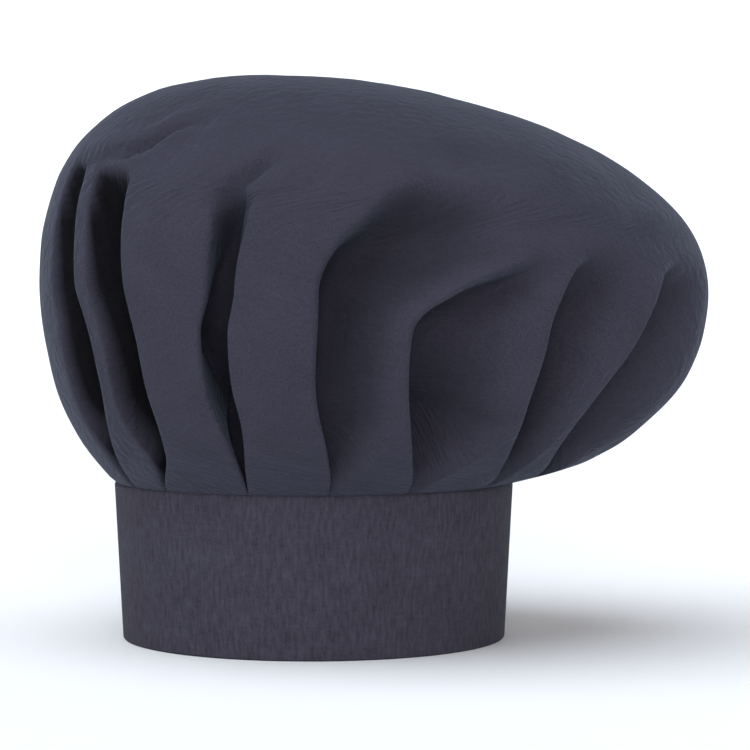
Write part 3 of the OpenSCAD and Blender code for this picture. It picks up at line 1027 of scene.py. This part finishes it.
    def cut_slit(self, mesh: bmesh.types.BMesh, angle: float, rings: int) -> np.ndarray:
        """Cuts the flat cloth from its rim towards its middle.

        Args:
            mesh: The flat cloth.
            angle: The cut's direction, in degrees.
            rings: How many rings it crosses.

        Returns:
            For each vertex, 1 or -1 beside the cut, by its side, and 0 elsewhere.
        """
        way = Vector((math.cos(math.radians(angle)), math.sin(math.radians(angle)), 0.0))
        across = Vector((-way.y, way.x, 0.0))
        end = self.disc_radius * (1 - rings / self.rings) - 1e-5
        cut = [
            edge
            for edge in mesh.edges
            if all(abs(v.co.dot(across)) < 1e-6 and v.co.dot(way) > end for v in edge.verts)
        ]
        bmesh.ops.split_edges(mesh, edges=cut)
        mesh.verts.index_update()
        side = np.zeros(len(mesh.verts))
        for vert in mesh.verts:
            if vert.is_boundary and abs(vert.co.dot(across)) < 1e-6 and vert.co.dot(way) > end + 2e-5:
                middle = sum((face.calc_center_median() for face in vert.link_faces), Vector())
                side[vert.index] = math.copysign(1.0, middle.dot(across))
        return side

    def lap(self, turn: np.ndarray, level: np.ndarray) -> np.ndarray:
        """How far the crown lies inwards over the underlap, fading out at the slit's top."""
        return self.band.sink(turn) * (1 - ease(level / self.slit_level))

    def slit_side(self, side: float, aside: float, level: float, lift: float) -> np.ndarray:
        """A point of the crown beside the slit.

        Args:
            side: -1 for the root's side, 1 for the underlap's.
            aside: Distance from the slit's middle, in metres.
            level: The level.
            lift: Height over the cloth's outer face.

        Returns:
            The point.
        """
        spots = self.surface(np.array([BACK - 1, BACK + 1]), np.full(2, level))
        turn = np.array([BACK + side * aside * 2 / float(np.linalg.norm(spots[1] - spots[0]))])
        at = np.array([level])
        depth = -lift + (self.lap(turn - 360.0, at) if side > 0 else 0.0)
        return (self.surface(turn, at) + self.inward(turn, at) * depth)[0]

    def cloth_radius(self, levels: np.ndarray) -> np.ndarray:
        """Radius in the flat cloth of each ring, by distance up the crown."""
        fine = np.linspace(0.0, 1.0, 400)
        path = self.surface(np.full_like(fine, -90.0), fine)
        run = np.r_[0.0, np.cumsum(np.linalg.norm(np.diff(path, axis=0), axis=1))]
        radii = (self.disc_radius - self.hem) * (1 - np.interp(levels, fine, run / run[-1]))
        radii[0] = self.disc_radius
        return radii

    def grid(
        self, levels: np.ndarray, columns: int, cells: int
    ) -> tuple[np.ndarray, np.ndarray, np.ndarray]:
        """Turn, depth and share of the cloth's round for every ring and column.

        Args:
            levels: Level of each ring.
            columns: Number of columns.
            cells: Columns in one pleat.

        Returns:
            Three arrays of rings by columns.
        """
        n = len(FOLDS)
        turns, depths = np.zeros((len(levels), columns)), np.zeros((len(levels), columns))
        edges = np.array([fold.edge(levels) for fold in FOLDS])
        for i, level in enumerate(levels):
            start = edges[:, i]
            stop = np.r_[start[1:], start[0] + 360.0]
            thirds = self.surface(start + (stop - start) * np.array([[0.0], [0.5], [1.0]]), level)
            widths = np.linalg.norm(np.diff(thirds, axis=0), axis=-1).sum(axis=0)
            bends = []
            for k, fold in enumerate(FOLDS):
                before, after = widths[(k - 1) % n], widths[k]
                under, own = (after, before) if fold.mirrored else (before, after)
                bends.append(self.bend(float(level), k, float(under), float(own)))
            for k, fold in enumerate(FOLDS):
                s, d = bends[k].profile(self.bend_cells, self.return_cells)
                if fold.mirrored:
                    s, d = -s[::-1], d[::-1]
                slit = widths[k] * (BACK - start[k]) / (stop[k] - start[k]) if k == SLIT_FOLD else 0.0
                panel_s, panel_d = self.panel(float(level), float(widths[k]), k, bends, float(slit))
                row = slice(k * cells, (k + 1) * cells)
                turns[i, row] = start[k] + (stop[k] - start[k]) * np.r_[s, panel_s] / widths[k]
                depths[i, row] = np.r_[d, panel_d]
        wide = self.surface(turns, levels[:, None] + 0 * turns)
        along = np.linalg.norm(np.roll(wide, -1, axis=1) - wide, axis=-1)
        step = np.hypot(along, np.roll(depths, -1, axis=1) - depths)
        run = np.cumsum(step, axis=1)
        lengths = np.concatenate([np.zeros((len(levels), 1)), run[:, :-1]], 1) / run[:, -1:]
        return turns, depths, lengths

    def creasing(self, place: np.ndarray) -> np.ndarray:
        """Depth of the creases at each point of the smooth surface."""
        depth = np.zeros(len(place))
        for crease in CREASES:
            turns, levels = np.array(crease.path, float).T
            at = np.linspace(0.0, 1.0, 25)
            knots = np.linspace(0.0, 1.0, len(turns))
            line = self.surface(flow(at, knots, turns), flow(at, knots, levels))
            gap = np.linalg.norm(place[:, None] - line[None], axis=-1)
            nearest = gap.argmin(axis=1)
            fading = np.sin(np.pi * np.clip(at * 0.9 + 0.05, 0, 1))[nearest]
            gap = gap.min(axis=1)
            valley = np.exp(-((gap / crease.width) ** 2))
            swell = np.exp(-(((gap - 2.2 * crease.width) / (1.6 * crease.width)) ** 2))
            depth += crease.depth * fading * (valley - 0.25 * swell)
        return depth

    @staticmethod
    def unevenness(place: np.ndarray, level: np.ndarray) -> np.ndarray:
        """Small rises and falls of the cloth, which fade towards the seam."""
        broad = [0.0014 * noise.noise(Vector(p) * 17.0) for p in place]
        fine = [0.0005 * noise.noise(Vector(p) * 55.0 + Vector((4, 4, 4))) for p in place]
        return (np.array(broad) + np.array(fine)) * ease(level / 0.12)


@dataclass
class Vent:
    """The bound slit over the closure: two folded tapes, their stitches and the bar tack."""

    crown: Crown
    edge: float = 0.0006
    width: float = 0.0070
    tape: float = 0.00055
    lift: float = 0.00062
    lining: float = 0.00112
    row: float = 0.0053

    def across(self, share: float) -> tuple[float, float]:
        """Distance from the slit's middle and lift, from the inner edge of a tape to its outer one."""
        radius = (self.lift + self.lining) / 2
        straight = self.width - radius
        total = 2 * straight + math.pi * radius
        run = share * total
        if run < straight:
            return self.edge + self.width - run, -self.lining
        if run < total - straight:
            angle = (run - straight) / radius
            fold = radius * (1 - math.sin(angle)), -radius * (1 + math.cos(angle))
            return self.edge + fold[0], self.lift + fold[1]
        return self.edge + radius + run - total + straight, self.lift

    def side(self, side: int) -> Place:
        """Positions on the tape of one side of the slit."""

        def place(along: float, up: float) -> np.ndarray:
            aside, lift = self.across(along if side > 0 else 1 - along)
            return self.crown.slit_side(side, aside, up * self.crown.vent_level, lift)

        return place

    def build(self) -> None:
        """Makes the tapes, the stitches and the bar tack."""
        height = 0.064
        sides = [self.side(-1), self.side(1)]
        tapes = cloth_strip("vent_tape", sides, (22, 26), (0.015, height), self.tape)
        fit(tapes, Slot.BINDING, Body.TOQUE, "vent_binding")
        sewn = Stitches("vent_stitches")
        tack = Stitches("vent_tack", width=0.00060, height=0.00062)
        top = self.crown.slit_level
        over = self.lift + 0.00008
        for side in (-1, 1):
            sewn.row(
                lambda share, side=side: self.crown.slit_side(side, self.row, share * top, over),
                lambda share: np.array([0.0, 1.0, 0.0]),
            )
            for i in range(9):
                aside = 0.00028 + 0.00056 * i
                spots = [
                    self.crown.slit_side(side, aside, level, over + 0.00015)
                    for level in (top, self.crown.vent_level)
                ]
                tack.stitch(*spots, np.array([0.0, 1.0, 0.0]))
        sewn.finish(Body.TOQUE, "vent_binding_stitching")
        tack.finish(Body.TOQUE, "vent_bar_tack")


# ------------------------------------------------------------------ the head band


@dataclass
class FoldedStrip:
    """A length of the band: one cloth folded round a stiffener, with its ends closed."""

    shape: BandShape
    start: float
    stop: float
    low: float = 0.0
    drop: float = 0.0
    closed: tuple[bool, bool] = (False, False)
    wall: float = 0.00204
    ply: float = 0.0006
    closing: float = 0.0026

    def turn(self, along: float) -> float:
        """Turn for a share along the strip."""
        return mix(self.start, self.stop, along)

    def open_top(self, turn: float) -> float:
        """1 where the strip's top edge is free, and 0 where the crown is sewn to it."""
        return max(float(ease((turn - BACK + 2) / 2)), float(ease((-268.0 - turn) / 3)))

    def around(self, share: float, height: float) -> tuple[float, float]:
        """Depth and height over the lower edge, from the inner top edge round to the outer one."""
        radius = self.wall / 2
        straight = height - radius
        run = (1 - share) * (2 * straight + math.pi * radius)
        if run < straight:
            return 0.0, height - run
        if run < straight + math.pi * radius:
            angle = (run - straight) / radius
            return radius * (1 - math.cos(angle)), radius * (1 - math.sin(angle))
        return self.wall, run - straight - math.pi * radius + radius

    def place(self, along: float, up: float) -> np.ndarray:
        """A point of the cloth's outer face."""
        turn = self.turn(along)
        free = self.open_top(turn)
        low = self.low * float(ease((turn - BACK + 2) / 2))
        top = self.shape.height - self.drop * float(ease((turn - BACK + 2) / 2))
        depth, z = self.around(up, top - low)
        to_end = 1.0
        if self.closed[0]:
            to_end = min(to_end, (turn - self.start) / self.shape.degrees(self.closing))
        if self.closed[1]:
            to_end = min(to_end, (self.stop - turn) / self.shape.degrees(self.closing))
        to_top = (top - low - z) / self.closing
        pinch = max(1 - float(ease(to_end)), free * (1 - float(ease(to_top))))
        middle = self.wall / 2
        depth = middle + (depth - middle) * mix(1.0, self.ply / middle, pinch)
        if depth < middle:
            depth += (1 - free) * 0.0006 * float(ease(1 - to_top * 1.8))
        return self.shape.strip(turn, depth, low + z)

    def cloth(self, name: str, columns: int) -> bpy.types.Object:
        """Makes the folded cloth."""
        height = 2 * self.shape.height
        length = (self.stop - self.start) / self.shape.degrees(1.0)
        rows = (0, 0.03, 0.483, 0.517, 0.97, 1)
        return cloth_strip(name, [self.place], (columns, 42), (length, height), self.ply, rows)

    def stiffener(self, name: str, columns: int, thickness: float = 0.0008) -> bpy.types.Object:
        """Makes the stiffener inside it."""
        depth, short = 0.00062, self.shape.degrees(self.closing)
        ends = self.start + short * self.closed[0], self.stop - short * self.closed[1]
        low, high = self.low + 0.0012, self.shape.height - self.drop - 0.0026
        length = (ends[1] - ends[0]) / self.shape.degrees(1.0)

        def place(along: float, up: float) -> np.ndarray:
            return self.shape.strip(mix(ends[0], ends[1], along), depth, mix(low, high, up))

        piece = cloth_strip(name, [place], (columns, 6), (length, high - low), thickness)
        return piece


@dataclass
class HeadBand:
    """The band's strip with its stiffener, the seam's tape, the loop tape and their stitches.

    A face is the depth at which a tape begins, a base or ply its thickness. seam_row is the depth
    and height of the seam tape's stitches, loop_row the depth of the loop tape's.
    """

    shape: BandShape
    stop: float = ROOT
    underlap_run: float = 0.014
    loop_length: float = 0.066
    seam_tape: tuple[float, float] = (0.061, 0.0748)
    seam_face: float = 0.00206
    seam_ply: float = 0.00055
    seam_row: tuple[float, float] = (0.00270, 0.0683)
    loop_face: float = 0.00388
    loop_base: float = 0.00078
    loop_row: float = 0.00378

    def build(self) -> None:
        """Makes all of it."""
        shape = self.shape
        tab_end = BACK + shape.tab_turn
        start = tab_end - shape.degrees(self.loop_length + self.underlap_run) - 360.0
        strip = FoldedStrip(shape, start, self.stop, closed=(True, False))
        cloth = strip.cloth("band_cloth", 190)
        fit(cloth, Slot.BAND, Body.TOQUE, "band_outer", "band_facing")
        length = (self.stop - start) / shape.degrees(1.0)
        fit(strip.stiffener("band_stiffener", 120), Slot.INTERLINING, Body.TOQUE, "band_interlining")

        low, high = self.seam_tape
        tape = cloth_strip(
            "seam_tape",
            [lambda u, v: shape.strip(mix(start + 2, self.stop, u), self.seam_face, mix(low, high, v))],
            (190, 4), (length, high - low), self.seam_ply,
        )
        fit(tape, Slot.BINDING, Body.TOQUE, "seam_binding")
        sewn = Stitches("seam_tape_stitches")
        sewn.row(
            lambda share: shape.strip(mix(start + 3, self.stop - 0.5, share), *self.seam_row),
            lambda share: -shape.out(mix(start + 3, self.stop - 0.5, share)),
        )
        sewn.finish(Body.TOQUE, "seam_binding_stitching")

        box = Tape(shape, tab_end - shape.degrees(self.loop_length), tab_end, self.loop_face, -1)
        tape = box.base("loop_tape_base", self.loop_base)
        fit(tape, Slot.LOOP, Body.TOQUE, "loop_tape")
        box.size[1]
        loops = Pile("loop_pile", 180.0, radius=0.00048, filament=0.00007, squash=0.38)
        fit(loops.build(box.over, box.size), Slot.LOOP, Body.TOQUE)
        box.sew("loop_tape_stitches", Body.TOQUE, "loop_tape_stitching", self.loop_row)


@dataclass
class Tape:
    """A rectangle of hook or loop tape on the band's oval, in the middle of its height."""

    shape: BandShape
    start: float
    stop: float
    face: float
    toward: int
    low: float = 0.0125
    high: float = 0.0625

    @property
    def size(self) -> tuple[float, float]:
        """Its length and height."""
        return (self.stop - self.start) / self.shape.degrees(1.0), self.high - self.low

    def over(self, along: float, up: float, lift: float) -> np.ndarray:
        """A point over its face, which looks outwards if toward is -1 and inwards if it is 1."""
        turn = self.start + self.shape.degrees(along)
        return self.shape.oval(turn, self.face + self.toward * lift, self.low + up)

    def base(self, name: str, thickness: float) -> bpy.types.Object:
        """Makes its woven base."""
        back = self.face if self.toward < 0 else self.face - thickness

        def place(along: float, up: float) -> np.ndarray:
            turn, z = mix(self.start, self.stop, along), mix(self.low, self.high, up)
            return self.shape.oval(turn, back, z)

        return cloth_strip(name, [place], (36, 24), self.size, thickness)

    def sew(self, name: str, body: Body, node: str, depth: float) -> None:
        """Sews it round, at a depth, on a face that looks outwards."""
        margin = self.shape.degrees(ROW_MARGIN)
        turns = self.start + margin, self.stop - margin
        heights = self.low + ROW_MARGIN, self.high - ROW_MARGIN
        sewn = Stitches(name)
        sewn.box(
            lambda along, up: self.shape.oval(mix(*turns, along), depth, mix(*heights, up)),
            lambda share: self.shape.out(mix(*turns, share)),
        )
        sewn.finish(body, node)


@dataclass
class Closure:
    """The tab that closes the band, with its hooks and stitches.

    margin is the cloth left between the hook tape and the tab's free end, hook_face the depth at
    which the tape ends, hook_base its thickness, row_depth the depth of the stitches on the tab's
    outer face, edge_rows their heights, and root_bend two turns near the tab's root that are given
    as its bend, though nothing bends the tab.
    """

    shape: BandShape
    root: float = ROOT
    root_bend: tuple[float, float] = (87.0, 91.5)
    hook_length: float = 0.040
    hook_face: float = 0.00272
    hook_base: float = 0.00064
    margin: float = 0.004
    row_depth: float = -0.00008
    edge_rows: tuple[float, float] = (0.0026, 0.0719)

    def build(self) -> None:
        """Makes the tab, its stiffener, the hook tape and all stitches."""
        shape = self.shape
        end = BACK + shape.tab_turn
        strip = FoldedStrip(shape, self.root, end, low=0.0003, drop=0.0008, closed=(False, True))
        cloth, stiffener = strip.cloth("tab_cloth", 28), strip.stiffener("tab_stiffener", 24)
        bend = tuple(tuple(shape.oval(turn, 0.001, shape.height / 2)) for turn in self.root_bend)
        fit(cloth, Slot.BAND, Body.TAB, "tab_outer", "tab_facing", bend=bend)
        fit(stiffener, Slot.INTERLINING, Body.TAB, "tab_interlining", bend=bend)
        (end - self.root) / shape.degrees(1.0)

        stop = end - shape.degrees(self.margin)
        box = Tape(shape, stop - shape.degrees(self.hook_length), stop, self.hook_face, 1)
        tape = box.base("hook_tape_base", self.hook_base)
        fit(tape, Slot.HOOK, Body.TAB, "hook_tape")
        box.size
        hooks = Pile("hook_pile", 150.0, radius=0.00024, filament=0.00007, squash=1.0, seed=11)
        fit(hooks.build(box.over, box.size), Slot.HOOK, Body.TAB)
        box.sew("hook_tape_stitches", Body.TAB, "hook_tape_stitching", self.row_depth)

        near, far = BACK + 0.5, end - shape.degrees(ROW_MARGIN)
        edge = Stitches("tab_edge_stitches")
        for z in self.edge_rows:
            edge.row(
                lambda share, z=z: shape.oval(mix(near, far, share), self.row_depth, z),
                lambda share: shape.out(mix(near, far, share)),
            )
        low, high = self.edge_rows[0] + 0.001, self.edge_rows[1] - 0.001
        edge.row(
            lambda share: shape.oval(far, self.row_depth, mix(low, high, share)),
            lambda share: shape.out(far),
        )
        edge.finish(Body.TAB, "tab_edge_stitching")


@dataclass
class CareLabel:
    """The blank satin label that hangs from the seam's tape inside the band.

    It lies at sewn_depth where it is sewn and at loose_depth below, half_fold to either side of
    its middle. bend holds two heights that are given as its bend, though nothing bends the label,
    row the depth and height of its stitches.
    """

    shape: BandShape
    turn: float = 30.0
    width: float = 0.030
    low: float = 0.0288
    high: float = 0.0640
    thickness: float = 0.00022
    sewn_depth: float = 0.00305
    loose_depth: float = 0.00352
    half_fold: float = 0.00028
    bend: tuple[float, float] = (0.0616, 0.0598)
    row: tuple[float, float] = (0.00340, 0.0629)

    def place(self, along: float, up: float) -> np.ndarray:
        """A point of the label's outer ply, folded once at its lower edge."""
        half = self.shape.degrees(self.width / 2)
        span = self.high - self.low
        run = abs(up - 0.5) * 2
        z = self.low + span * run
        ply = self.half_fold * math.copysign(min(1.0, abs(up - 0.5) * 30), up - 0.5)
        hung = float(ease((0.0625 - z) / 0.002))
        ends = [self.shape.oval(self.turn + side * half, 0.0, z) for side in (-1, 1)]
        flat = ends[0] + (ends[1] - ends[0]) * along
        sewn = self.shape.oval(self.turn + (2 * along - 1) * half, self.sewn_depth - ply * 0.6, z)
        loose = flat - self.shape.out(self.turn) * (self.loose_depth - ply)
        return sewn + (loose - sewn) * hung

    def build(self) -> None:
        """Makes the label and its stitches."""
        span = self.high - self.low
        piece = cloth_strip(
            "care_label_cloth", [self.place], (24, 60), (self.width, 2 * span), -self.thickness
        )
        x, y, _ = self.shape.oval(self.turn, 0.0035, sum(self.bend) / 2)
        bend = tuple((x, y, z) for z in self.bend)
        fit(piece, Slot.LABEL, Body.LABEL, "care_label", bend=bend)
        half = self.shape.degrees(self.width / 2)
        sewn = Stitches("care_label_stitches", length=0.0018)
        sewn.row(
            lambda share: self.shape.oval(self.turn + (2 * share - 1) * half, *self.row),
            lambda share: -self.shape.out(self.turn + (2 * share - 1) * half),
        )
        sewn.finish(Body.TOQUE, "care_label_stitching")


# ------------------------------------------------------------------ the studio


@dataclass
class Studio:
    """A plain pale floor, soft light and the camera."""

    eye: Point = (0.0293, -1.430, 0.181)
    aim: Point = (0.0293, 0.0, 0.1253)
    view_width: float = 0.360

    def camera(self) -> None:
        """Makes the scene's camera."""
        data = bpy.data.cameras.new("camera")
        gap = Vector(self.aim) - Vector(self.eye)
        data.sensor_width = 36.0
        data.lens = data.sensor_width * gap.length / self.view_width
        camera = bpy.data.objects.new("camera", data)
        camera.location = self.eye
        camera.rotation_euler = gap.to_track_quat("-Z", "Y").to_euler()
        bpy.context.scene.collection.objects.link(camera)
        bpy.context.scene.camera = camera

    def floor(self) -> None:
        """Makes the pale round floor, whose rim curves up into a backdrop that lets light in."""
        flat, curve, wall = 6.0, 1.5, 2.5
        mesh = bmesh.new()
        bmesh.ops.create_circle(mesh, cap_ends=True, segments=96, radius=flat)
        for step in range(17):
            angle = math.pi / 2 * min(step + 1, 16) / 16
            reach = flat + curve * math.sin(angle)
            height = curve * (1 - math.cos(angle)) + (wall if step == 16 else 0.0)
            rim = [edge for edge in mesh.edges if edge.is_boundary]
            made = bmesh.ops.extrude_edge_only(mesh, edges=rim)["geom"]
            for v in only_verts(made):
                v.co = (*(v.co.xy.normalized() * reach), height)
        bmesh.ops.recalc_face_normals(mesh, faces=mesh.faces)
        piece = new_object("studio_floor", mesh)
        piece.visible_shadow = False
        n = Nodes("studio_floor")
        fleck = n.add("TexNoise", Scale=3.0, Detail=2.0).outputs[0]
        pale = n.add("MixRGB", Fac=fleck, Color1=(0.93, 0.93, 0.93, 1), Color2=(0.96, 0.96, 0.96, 1))
        dress(piece, n.surface(n.add("BsdfPrincipled", Base_Color=pale.outputs[0], Roughness=0.9)))

    def sun(self, name: str, toward: Point, power: float, spread: float, colour: Point) -> None:
        """Adds a wide soft lamp that is equally bright everywhere.

        Args:
            name: Its name.
            toward: Direction to the lamp.
            power: Its strength.
            spread: Its width in degrees.
            colour: Its colour.
        """
        data = bpy.data.lights.new(name, "SUN")
        data.energy, data.angle, data.color = power, math.radians(spread), colour
        lamp = bpy.data.objects.new(name, data)
        lamp.rotation_euler = Vector(toward).to_track_quat("Z", "Y").to_euler()
        bpy.context.scene.collection.objects.link(lamp)

    def light(self) -> None:
        """Soft daylight from all round, and a wide lamp overhead, a little to the left."""
        world = bpy.data.worlds.new("studio")
        world.use_nodes = True
        world.node_tree.nodes["Background"].inputs[0].default_value = (1.0, 1.0, 1.0, 1.0)
        world.node_tree.nodes["Background"].inputs[1].default_value = 0.22
        bpy.context.scene.world = world
        self.sun("overhead", (-0.30, -0.22, 1.0), 2.45, 75.0, (0.89, 0.97, 1.06))
        self.sun("front", (0.04, -1.0, 0.30), 0.98, 25.0, (1.05, 0.97, 0.97))
        bpy.context.scene.view_settings.view_transform = "Standard"

    def build(self) -> None:
        """Makes the whole studio."""
        self.camera()
        self.floor()
        self.light()


def main() -> None:
    """Builds the hat and its studio."""
    logging.basicConfig(level=logging.INFO, format="%(message)s")
    Studio().build()
    shape = BandShape()
    crown = Crown(shape)
    cloth = crown.build()
    fit(cloth, Slot.CROWN, Body.TOQUE, "crown")
    Vent(crown).build()
    HeadBand(shape).build()
    Closure(shape).build()
    CareLabel(shape).build()


if __name__ == "__main__":
    main()
